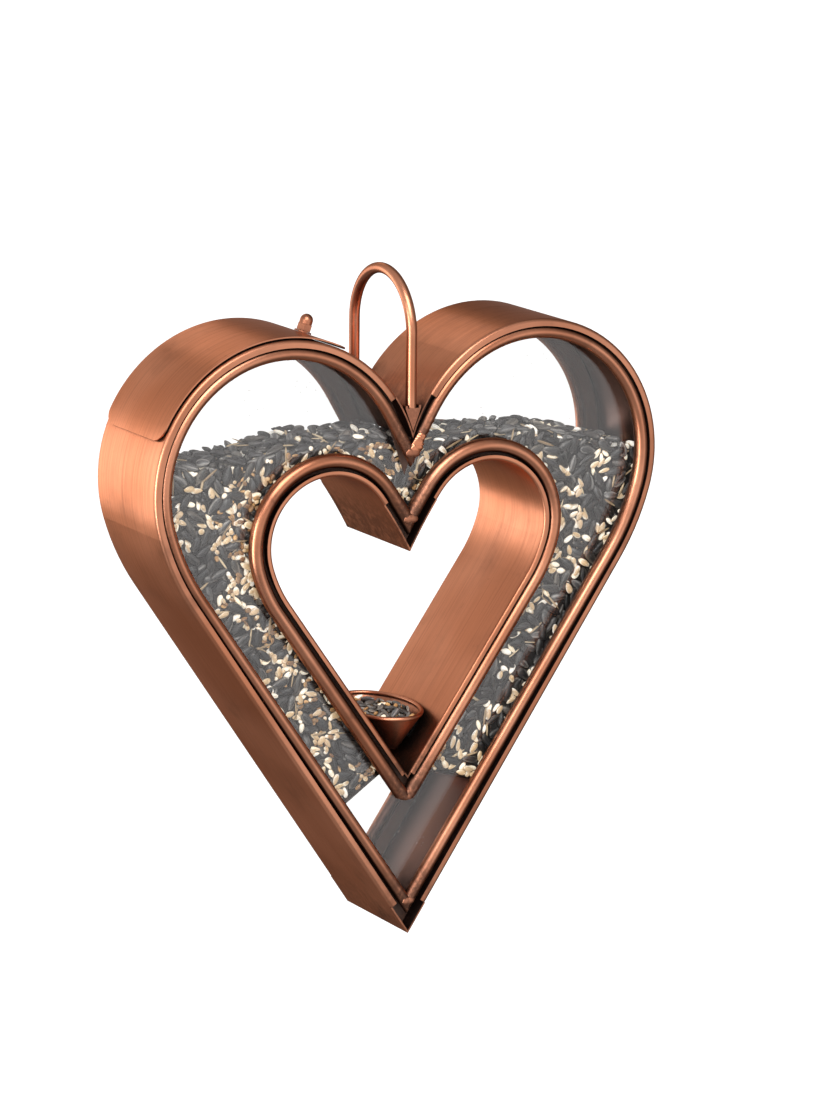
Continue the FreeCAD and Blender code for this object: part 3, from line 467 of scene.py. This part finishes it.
def placed(mesh, replaced):
    """Adds a mesh to the feeder, in place of a CAD node where one is named."""
    piece = bpy.data.objects.new(mesh.name, mesh)
    bpy.context.scene.collection.objects.link(piece)
    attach(piece, "feeder")
    if replaced:
        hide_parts(replaced)


def tree_of(node):
    """A search tree over a CAD node's mesh."""
    mesh = NODES[node].data
    vertices = [v.co.copy() for v in mesh.vertices]
    return BVHTree.FromPolygons(vertices, [list(p.vertices) for p in mesh.polygons])


def seed_core(node, share, level, material):
    """The dark middle of a heap, a painted shadow behind the grains that show: the CAD solid, thinned and
    lowered.

    share gives how much of its width and depth it keeps, and level its height as a function of x.
    """
    station = 12 * MM
    low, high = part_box(node)
    middle = (low + high) / 2
    cut = bmesh.new()
    cut.from_mesh(NODES[node].data)
    for x in np.arange(low.x, high.x, station):
        parts = cut.verts[:] + cut.edges[:] + cut.faces[:]
        bmesh.ops.bisect_plane(cut, geom=parts, plane_co=(x, 0, 0), plane_no=(1, 0, 0))
    for vertex in cut.verts:
        vertex.co.z = min(vertex.co.z, float(level(vertex.co.x)))
        vertex.co.x = middle.x + (vertex.co.x - middle.x) * share[0]
        vertex.co.y = middle.y + (vertex.co.y - middle.y) * share[1]
    mesh = bpy.data.meshes.new(f"{node}_core")
    cut.to_mesh(mesh)
    cut.free()
    mesh.materials.clear()
    mesh.materials.append(material)
    placed(mesh, node)


def heap_level():
    """The heap's surface height as a function of x: the CAD solid's level less the drop at its ends."""
    tree = tree_of("hopper_seed")
    left, right = [tree.ray_cast(Vector((x, 0, 0)), Vector((0, 0, -1)))[0] for x in (-60 * MM, 60 * MM)]
    slope = (right.z - left.z) / (right.x - left.x)
    return lambda x: left.z + slope * (x - left.x) - heap_drop(x)


def shadow_seed():
    """The painted shadow of the heap's depth, seen between grains: near black, rough and lumpy."""
    s = Shade("seed_shadow")
    lump = s.noise(s.place(), 260.0, 4.0, 0.6)
    tone = s.mix(s.span(lump, 0.35, 0.70), (0.006, 0.006, 0.007), (0.030, 0.027, 0.025))
    return s.finish(principled(s, {"Base Color": tone, "Roughness": 0.8,
                                   "Normal": s.bump(lump, 0.9, 0.002)}))


def grain_kinds():
    """Every kind of grain by name. Each has length, width, thickness, tilt and roll."""
    black = seed_husk("black_seed_shell", (0.005, 0.005, 0.006), (0.15, 0.145, 0.145),
                      (0.62, 0.59, 0.55))
    striped = seed_husk("striped_seed_shell", (0.045, 0.040, 0.037), (0.24, 0.215, 0.19),
                        (0.60, 0.53, 0.44))
    cream = seed_flesh("kernel", (1.0, 0.97, 0.90), (0.97, 0.86, 0.66), (0.44, 0.27, 0.11))
    straw = seed_flesh("husk_flake", (0.62, 0.50, 0.33), (0.36, 0.26, 0.15), (0.20, 0.13, 0.07))
    brown = seed_flesh("chip", (0.62, 0.36, 0.14), (0.30, 0.15, 0.06), (0.12, 0.06, 0.03))
    shell = egg(rings=8, spokes=8, taper=0.28, flat=1.3)
    kernel_shape = egg(rings=7, spokes=7, taper=0.24, flat=1.0)
    flake_shape = egg(rings=6, spokes=6, taper=0.1, flat=1.0, bend=0.15)
    bead_shape = egg(rings=6, spokes=7, taper=0.0, flat=1.0)
    return {
        "black": Kind("black", shell, 10.4, 5.0, 3.4, 12, 26, black),
        "striped": Kind("striped", shell, 12.5, 5.4, 3.4, 13, 25, striped),
        "small": Kind("small", shell, 8.0, 3.4, 2.2, 20, 40, striped),
        "kernel": Kind("kernel", kernel_shape, 6.6, 3.3, 2.4, 14, 35, cream),
        "flake": Kind("flake", flake_shape, 11.0, 1.5, 0.7, 10, 30, straw),
        "chip": Kind("chip", kernel_shape, 4.0, 2.6, 1.6, 25, 60, brown),
        "round": Kind("round", bead_shape, 2.9, 2.7, 2.5, 25, 60, cream),
    }


def picker(kinds, shares):
    """A function that draws a kind of grain by the shares, given by name."""
    names, steps = list(shares), np.cumsum(list(shares.values()))

    def pick(rng):
        return kinds[names[min(int(np.searchsorted(steps, rng.random())), len(names) - 1)]]
    return pick


def patchiness(bed, scale, seed):
    """Smooth noise between -1 and 1 over the bed's cells, sampled on a coarse grid."""
    coarse = 6
    shape = (bed.count[0] // coarse + 1, bed.count[1] // coarse + 1)
    field = np.array([[noise.noise(Vector((i, j, seed)) * coarse * bed.STEP * scale)
                       for j in range(shape[1])] for i in range(shape[0])])
    return field.repeat(coarse, 0).repeat(coarse, 1)[:bed.count[0], :bed.count[1]]


def near(bed, tree, distance):
    """Which of the bed's cells lie this close to the tree, on a coarse grid."""
    coarse = 5
    field = np.array([[tree.find_nearest(Vector(bed.world(i, j)), distance)[0] is not None
                       for j in range(0, bed.count[1], coarse)] for i in range(0, bed.count[0], coarse)])
    return field.repeat(coarse, 0).repeat(coarse, 1)[:bed.count[0], :bed.count[1]]


def glass_bed(side, kinds, rng, level):
    """Grains against a window's inside, as they show from the front or from behind.

    Kernels lie in patches well under the heap's surface, and chips and round seeds in patches near the
    left half of the inner heart.
    """
    margin, headroom, start = 4 * MM, 6 * MM, 20 * MM
    seed_depth, kernel_depth, rim_reach = 4 * MM, 9 * MM, 31 * MM
    low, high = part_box("hopper_seed")
    face = side * abs(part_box("front_window")[1].y)
    size = (high.x - low.x + 2 * margin, high.z - low.z + 2 * margin + headroom)
    bed = Bed((low.x - margin, face, low.z - margin), (1, 0, 0), (0, 0, 1), (0, -side, 0), size)
    bed.open = np.isfinite(bed.struck(tree_of("hopper_seed"), start, 2 * start))
    pane = tree_of("front_window" if side < 0 else "rear_window")
    glass = np.isfinite(bed.struck(pane, start, start + 1 * MM))
    rows = np.arange(bed.count[1])[None, :]
    top = np.where(bed.open, rows, -1).max(axis=1)[:, None]
    above = (rows > top) & (top >= 0)
    bed.height[~glass | (~bed.open & ~above)] = bed.BLOCKED
    x = bed.origin[0] + np.arange(bed.count[0]) * bed.STEP
    surface = ((level(x) - bed.origin[2]) / bed.STEP)[:, None]
    bed.open &= rows < surface - seed_depth / bed.STEP
    patch = patchiness(bed, 42.0, 3.0 + side)
    rim = bed.open & near(bed, tree_of("left_inner_band"), rim_reach) & (patch > -0.25)
    pale = bed.open & (rows < surface - kernel_depth / bed.STEP) & (patch > -0.2)
    shares = {"black": 0.55, "striped": 0.06, "kernel": 0.26, "flake": 0.03, "chip": 0.05, "round": 0.05}
    where = {"kernel": pale, "chip": rim, "round": rim}
    bed.fill(picker(kinds, shares), rng, tries=7, limit=3.6 * MM, misses=70, where=where)
    shares = {"black": 0.88, "striped": 0.04, "kernel": 0.08}
    bed.fill(picker(kinds, shares), rng, tries=5, limit=7.0 * MM, misses=40, where={})
    return bed.grains


def shrunk(area, cells):
    """The area less a rim this many cells wide."""
    for _ in range(cells):
        area = area & np.roll(area, 1, 0) & np.roll(area, -1, 0) & np.roll(area, 1, 1) & np.roll(area, -1, 1)
    return area


def heap_bed(node, kinds, rng, shares, sunk, layers, drop):
    """Grains over a heap's top, which may slope to one side.

    The bed lies sunk under the CAD solid's top, and under that by drop, a function of x. Each layer is
    filled up to its own height over the bed, in millimetres.
    """
    low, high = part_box(node)
    tree = tree_of(node)
    start, pad, inset = high.z + 5 * MM, 7 * MM, 12 * MM
    ends = []
    for x in (low.x + inset, high.x - inset):
        hit = tree.ray_cast(Vector((x, (low.y + high.y) / 2, start)), Vector((0, 0, -1)))[0]
        ends.append(hit)
    across = (ends[1] - ends[0]).normalized()
    up = across.cross(Vector((0, 1, 0)))
    origin = ends[0] - across * (inset + pad) - up * sunk
    origin.y = low.y - pad
    size = (high.x - low.x + 2 * pad, high.y - low.y + 2 * pad)
    bed = Bed(tuple(origin), tuple(across), (0, 1, 0), tuple(up), size)
    above, deepest, reach = 12 * MM + sunk, 20 * MM + sunk, 40 * MM
    gap = bed.struck(tree, above, reach)
    bed.open = shrunk(np.isfinite(gap) & (gap < deepest), 3)
    bed.base -= drop(origin.x + np.arange(bed.count[0]) * bed.STEP * across.x)[:, None]
    bed.height = bed.base.copy()
    bed.height[~bed.open] = bed.BLOCKED
    for limit in layers:
        bed.fill(picker(kinds, shares), rng, tries=6, limit=limit * MM, misses=60, where={})
    return bed.grains


def make_seed():
    """All loose seed: against both windows, over the hopper's heap, and in the cup."""
    rng = np.random.default_rng(7)
    kinds = grain_kinds()
    shadow = shadow_seed()
    level = heap_level()
    for side, name in ((-1, "front"), (1, "rear")):
        grain_pieces(f"{name}_seed", glass_bed(side, kinds, rng, level), rng, "hopper_seed")
    shares = {"black": 0.72, "striped": 0.16, "kernel": 0.06, "flake": 0.06}
    grains = heap_bed("hopper_seed", kinds, rng, shares, sunk=5.5 * MM, layers=(2.5, 5.5), drop=heap_drop)
    grain_pieces("top_seed", grains, rng, "hopper_seed")
    seed_core("hopper_seed", share=(1.0, 0.80), level=lambda x: level(x) - 7 * MM, material=shadow)
    shares = {"small": 0.74, "black": 0.12, "kernel": 0.05, "chip": 0.09}
    grains = heap_bed("cup_seed", kinds, rng, shares, sunk=4 * MM, layers=(2.5, 5.0), drop=np.zeros_like)
    grain_pieces("cup_top_seed", grains, rng, "cup_seed")
    cup_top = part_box("cup_seed")[1].z
    seed_core("cup_seed", share=(0.9, 0.9), level=lambda x: cup_top - 5 * MM, material=shadow)


# ---------------------------------------------------------------- solder

def mitre_centre(bead, upper):
    """The middle of a tube's end in the middle plane, at the notch (upper) or at the tip."""
    low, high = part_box(bead)
    split = (low.z + high.z) / 2
    near_plane = 0.1 * MM
    ends = [v.co for v in NODES[bead].data.vertices
            if abs(v.co.x) < near_plane and (v.co.z > split) == upper]
    return sum(ends, Vector()) / len(ends)


def solder_lumps(name, spots, material, seed):
    """Flat lumps of solder that have run onto the metal, each (node, x, z, side, half-width)."""
    stretch = Vector((1.25, 0.9, 0.26))
    sunk, unevenness, coarseness, scatter = 0.15, 0.25, 1.3, 900
    in_front = 60 * MM
    points, faces, _ = egg(rings=9, spokes=12, taper=0.0, flat=1.0)
    vertices, polygons = [], []
    for node, x, z, side, width in spots:
        start = Vector((x, side * in_front, z))
        place, normal = tree_of(node).ray_cast(start, Vector((0, -side, 0)))[:2]
        if place is None:
            continue
        turn = normal.to_track_quat("Z", "Y").to_matrix()
        place = place - normal * sunk * width
        first = len(vertices)
        for point in points:
            spot = Vector(point) * coarseness + Vector((seed + x * scatter, z * scatter, side))
            swell = 1 + unevenness * noise.noise(spot)
            local = Vector(point) * stretch * width * swell
            vertices.append(place + turn @ local)
        polygons += [tuple(first + corner for corner in face) for face in faces]
    mesh = bpy.data.meshes.new(name)
    mesh.from_pydata([tuple(v) for v in vertices], [], polygons)
    mesh.shade_smooth()
    mesh.materials.append(material)
    placed(mesh, None)


def window_rim_shade(name, window, side, width, material):
    """Painted shade: a dark strip on a window's outer face along both its edges, in the gap beside the tubes.
    """
    overlap, clear, thick, on_plane = 0.25 * MM, 0.05 * MM, 0.3 * MM, 0.01 * MM
    out = Vector((0, side, 0))
    cut = bmesh.new()
    cut.from_mesh(NODES[window].data)
    bmesh.ops.remove_doubles(cut, verts=cut.verts[:], dist=0.001 * MM)
    cut.normal_update()
    flat = [face for face in cut.faces if face.normal.y * side > 0.99]
    inside = set(flat)
    after = {}
    for face in flat:
        for loop in face.loops:
            if any(other not in inside for other in loop.edge.link_faces):
                after[loop.vert] = loop.link_loop_next.vert
    vertices, polygons = [], []
    while after:
        ring = [next(iter(after))]
        while ring[-1] in after:
            ring.append(after.pop(ring[-1]))
        ring.pop()
        first, count = len(vertices), len(ring)
        for n, vertex in enumerate(ring):
            before = out.cross(vertex.co - ring[n - 1].co).normalized()
            behind = out.cross(ring[(n + 1) % count].co - vertex.co).normalized()
            inward = (before + behind) / (1 + before.dot(behind))
            near_edge, far_edge = vertex.co - inward * overlap, vertex.co + inward * width
            # An edge that would cross the middle plane, or starts on it, stays on it.
            if far_edge.x * vertex.co.x < 0 or abs(vertex.co.x) < on_plane:
                far_edge.x = 0.0
            vertices += [near_edge + out * clear, near_edge + out * (clear + thick),
                         far_edge + out * (clear + thick), far_edge + out * clear]
        for n in range(count):
            here, there = first + 4 * n, first + 4 * ((n + 1) % count)
            for k in range(4):
                polygons.append((here + k, here + (k + 1) % 4, there + (k + 1) % 4, there + k))
    cut.free()
    mesh = bpy.data.meshes.new(name)
    mesh.from_pydata([tuple(v) for v in vertices], [], polygons)
    mesh.materials.append(material)
    placed(mesh, None)


def make_window_rim_shades():
    """The dark strips of painted shade along the edges of both windows."""
    dark_strip = Shade("dark_sealant")
    grain = dark_strip.noise(dark_strip.place(), 500.0, 3.0)
    # Painted shade: a brown-black tone for the strips in the gaps beside the tubes.
    tone = dark_strip.mix(grain, (0.040, 0.021, 0.015), (0.130, 0.062, 0.040))
    dark_strip.finish(principled(dark_strip, {"Base Color": tone, "Roughness": 0.6}))
    for face, side in (("front", -1), ("rear", 1)):
        window_rim_shade(f"{face}_rim_seal", f"{face}_window", side, width=7.5 * MM, material=dark_strip.material)


def notch_run(bead, notch, side):
    """Spots of solder that climbs a right tube out of the notch, leans with it and thins as it rises."""
    lumps, first, spacing, offset, lean = 7, 3.5, 1.25, 0.4, 0.42
    widest, thinning = 3.3, 0.2
    spots = []
    for step in range(lumps):
        rise = (first + spacing * step) * MM
        spots.append((bead, offset * MM + rise * lean, notch.z + rise, side, (widest - thinning * step) * MM))
    return spots


def make_solder():
    """Solder at the joints: a bright run in the outer notch, and dull aged lumps everywhere else."""
    bright = copper("solder_bright", patina=0.15, blotch_scale=160.0, rough=0.20, brushed=0.1, crevices=0.4)
    dull = copper("solder_dull", patina=0.9, blotch_scale=160.0, rough=0.36, brushed=0.1, aged=0.75)
    raw, aged = [], []
    for face, side in (("front", -1), ("rear", 1)):
        for hand, sign in (("right", 1), ("left", -1)):
            outer, inner = f"{face}_{hand}_outer_bead", f"{face}_{hand}_inner_bead"
            notch, tip = mitre_centre(outer, True), mitre_centre(outer, False)
            heart_notch = mitre_centre(inner, True)
            if sign > 0:
                raw += notch_run(outer, notch, side)
            aged.append((outer, sign * 1.2 * MM, notch.z + 1.5 * MM, side, 2.9 * MM))
            aged.append((outer, sign * 1.0 * MM, tip.z + 2.0 * MM, side, 2.4 * MM))
            aged.append((inner, sign * 1.0 * MM, heart_notch.z + 1.5 * MM, side, 2.8 * MM))
    solder_lumps("notch_solder_run", raw, bright, 2.0)
    solder_lumps("joint_solder", aged, dull, 5.0)


# ---------------------------------------------------------------- scene

def softbox(name, toward, distance, width, height, radiance):
    """A rectangular light that stands in a direction from the feeder and faces it."""
    lamp = bpy.data.lights.new(name, "AREA")
    lamp.shape, lamp.size, lamp.size_y = "RECTANGLE", width, height
    lamp.energy = radiance * math.pi * width * height
    holder = bpy.data.objects.new(name, lamp)
    bpy.context.scene.collection.objects.link(holder)
    middle = Vector(HEART_CENTRE)
    holder.location = middle + Vector(toward).normalized() * distance
    holder.rotation_euler = (middle - holder.location).to_track_quat("-Z", "Y").to_euler()


def make_world():
    """White studio walls round the feeder, darker below, overhead and to the far right."""
    world = bpy.data.worlds.new("studio")
    bpy.context.scene.world = world
    world.use_nodes = True
    tree = world.node_tree
    background = tree.nodes["Background"]

    def ramp(source, low, high, to_low, to_high):
        made = tree.nodes.new("ShaderNodeMapRange")
        made.interpolation_type = "SMOOTHSTEP"
        tree.links.new(source, made.inputs["Value"])
        for socket, number in (("From Min", low), ("From Max", high), ("To Min", to_low),
                               ("To Max", to_high)):
            made.inputs[socket].default_value = number
        return made.outputs["Result"]

    def times(first, second):
        made = tree.nodes.new("ShaderNodeMath")
        made.operation = "MULTIPLY"
        tree.links.new(first, made.inputs[0])
        tree.links.new(second, made.inputs[1])
        return made.outputs["Value"]

    place = tree.nodes.new("ShaderNodeTexCoord").outputs["Generated"]
    split = tree.nodes.new("ShaderNodeSeparateXYZ")
    tree.links.new(place, split.inputs["Vector"])
    height = times(ramp(split.outputs["Z"], -0.52, -0.12, 0.32, 1.05),
                   ramp(split.outputs["Z"], 0.10, 0.60, 1.0, 0.52))
    lean = tree.nodes.new("ShaderNodeVectorMath")
    lean.operation = "DOT_PRODUCT"
    tree.links.new(place, lean.inputs[0])
    lean.inputs[1].default_value = (1.0, 0.35, 0.0)
    strength = times(height, ramp(lean.outputs["Value"], 0.10, 0.62, 1.0, 0.27))
    tree.links.new(strength, background.inputs["Strength"])
    background.inputs["Color"].default_value = (1.0, 1.0, 1.0, 1.0)


def make_stage():
    """A plain pale floor well below the hanging feeder."""
    side, below = 60.0, 1.5
    mesh = bpy.data.meshes.new("floor")
    corners = [(-side, -side, -below), (side, -side, -below), (side, side, -below), (-side, side, -below)]
    mesh.from_pydata(corners, [], [(0, 1, 2, 3)])
    floor = bpy.data.objects.new("floor", mesh)
    bpy.context.scene.collection.objects.link(floor)
    s = Shade("pale_floor")
    grain = s.noise(s.place(), 3.0, 2.0)
    tone = s.mix(grain, (0.88, 0.88, 0.88), (0.91, 0.91, 0.91))
    mesh.materials.append(s.finish(principled(s, {"Base Color": tone, "Roughness": 0.9,
                                                  "Emission Color": (1.0, 1.0, 1.0, 1.0),
                                                  "Emission Strength": 0.8})))
    floor.visible_glossy = False
    floor.visible_diffuse = False


def make_lights():
    """Softboxes, each as (direction, distance, width, height, radiance), which the copper mirrors."""
    softboxes = {
        "left_wall": ((-0.93, -0.36, -0.06), 2.4, 1.6, 1.9, 2.7),
        "left_strip": ((-0.95, -0.30, -0.06), 2.3, 0.28, 1.6, 13.0),
        "back_left": ((-0.50, 0.84, -0.06), 2.6, 0.9, 1.5, 2.0),
        "back_top": ((0.18, 0.85, 0.52), 2.6, 0.8, 0.8, 1.05),
        "front_right": ((0.50, -0.84, -0.22), 2.6, 1.6, 1.9, 0.30),
        "front_top": ((-0.30, -0.70, 0.68), 2.6, 1.9, 1.7, 5.2),
    }
    for name, settings in softboxes.items():
        softbox(name, *settings)


def make_camera():
    """The camera, a long lens off to the left and a little above, and plain colours in the picture."""
    azimuth, elevation, roll = math.radians(-29.98), math.radians(12.75), math.radians(0.64)
    target, distance = Vector((0.0222, -0.0074, -0.1694)), 2.6806
    back = Vector((math.sin(azimuth) * math.cos(elevation), -math.cos(azimuth) * math.cos(elevation),
                   math.sin(elevation)))
    data = bpy.data.cameras.new("camera")
    data.lens, data.sensor_width = 147.85, 36.0
    camera = bpy.data.objects.new("camera", data)
    bpy.context.scene.collection.objects.link(camera)
    camera.location = target + back * distance
    turn = (-back).to_track_quat("-Z", "Y") @ Matrix.Rotation(roll, 3, "Z").to_quaternion()
    camera.rotation_euler = turn.to_euler()
    bpy.context.scene.camera = camera
    bpy.context.scene.view_settings.view_transform = "Standard"


def dress_frame():
    """Materials of the CAD nodes that show as they are."""
    # In the copper below, crevices, middle_dark, lining and rear_dark paint shade; patina and aged are its
    # own tarnish.
    sheet = {"rough": 0.33, "edge_dark": 0.10, "crevice_reach": 0.009}
    dress(copper("copper_sheet", patina=0.38, blotch_scale=22.0, middle_dark=0.62, **sheet),
          "left_inner_band", "right_inner_band", "fill_lid", "left_hopper_floor", "right_hopper_floor")
    # lining in the two outer bands paints shade on their faces that look in towards the heart's centre.
    dress(copper("copper_sheet_lined", patina=0.38, blotch_scale=22.0, middle_dark=0.45,
                 inner_shade=0.85, **sheet), "left_outer_band")
    dress(copper("copper_sheet_darker", patina=0.40, blotch_scale=19.0, aged=0.22, middle_dark=0.5,
                 inner_shade=0.85, **sheet), "right_outer_band")
    dress(copper("copper_cup", patina=0.3, blotch_scale=60.0, rough=0.36, brushed=0.6, crevices=0.8,
                 crevice_reach=0.008, aged=0.10), "feed_cup")
    dress(copper("copper_came", patina=0.85, blotch_scale=40.0, rough=0.28, brushed=0.25, crevices=0.9,
                 crevice_reach=0.005, aged=0.33, middle_dark=0.7),
          *[n for n in NODES if n.endswith("_bead")])
    dress(copper("copper_aged", patina=1.3, blotch_scale=110.0, rough=0.36, brushed=0.2, aged=0.9),
          "front_tip_solder", "rear_tip_solder", "front_hanger_gusset", "rear_hanger_gusset")
    # rear_dark paints shade on the rod's back leg.
    dress(copper("copper_rod", patina=0.45, blotch_scale=45.0, rough=0.30, brushed=0.3, aged=0.14,
                 rear_dark=0.35), "hanger_rod")
    dress(copper("copper_hardware", patina=0.9, blotch_scale=120.0, rough=0.30, brushed=0.2, aged=0.65),
          "cap_nut", "lid_washer", "lid_stud", "stud_base_nut")
    dress(clear_plastic(), "front_window", "rear_window")


make_camera()
make_stage()
make_world()
make_lights()
dress_frame()
make_window_rim_shades()
make_solder()
make_seed()
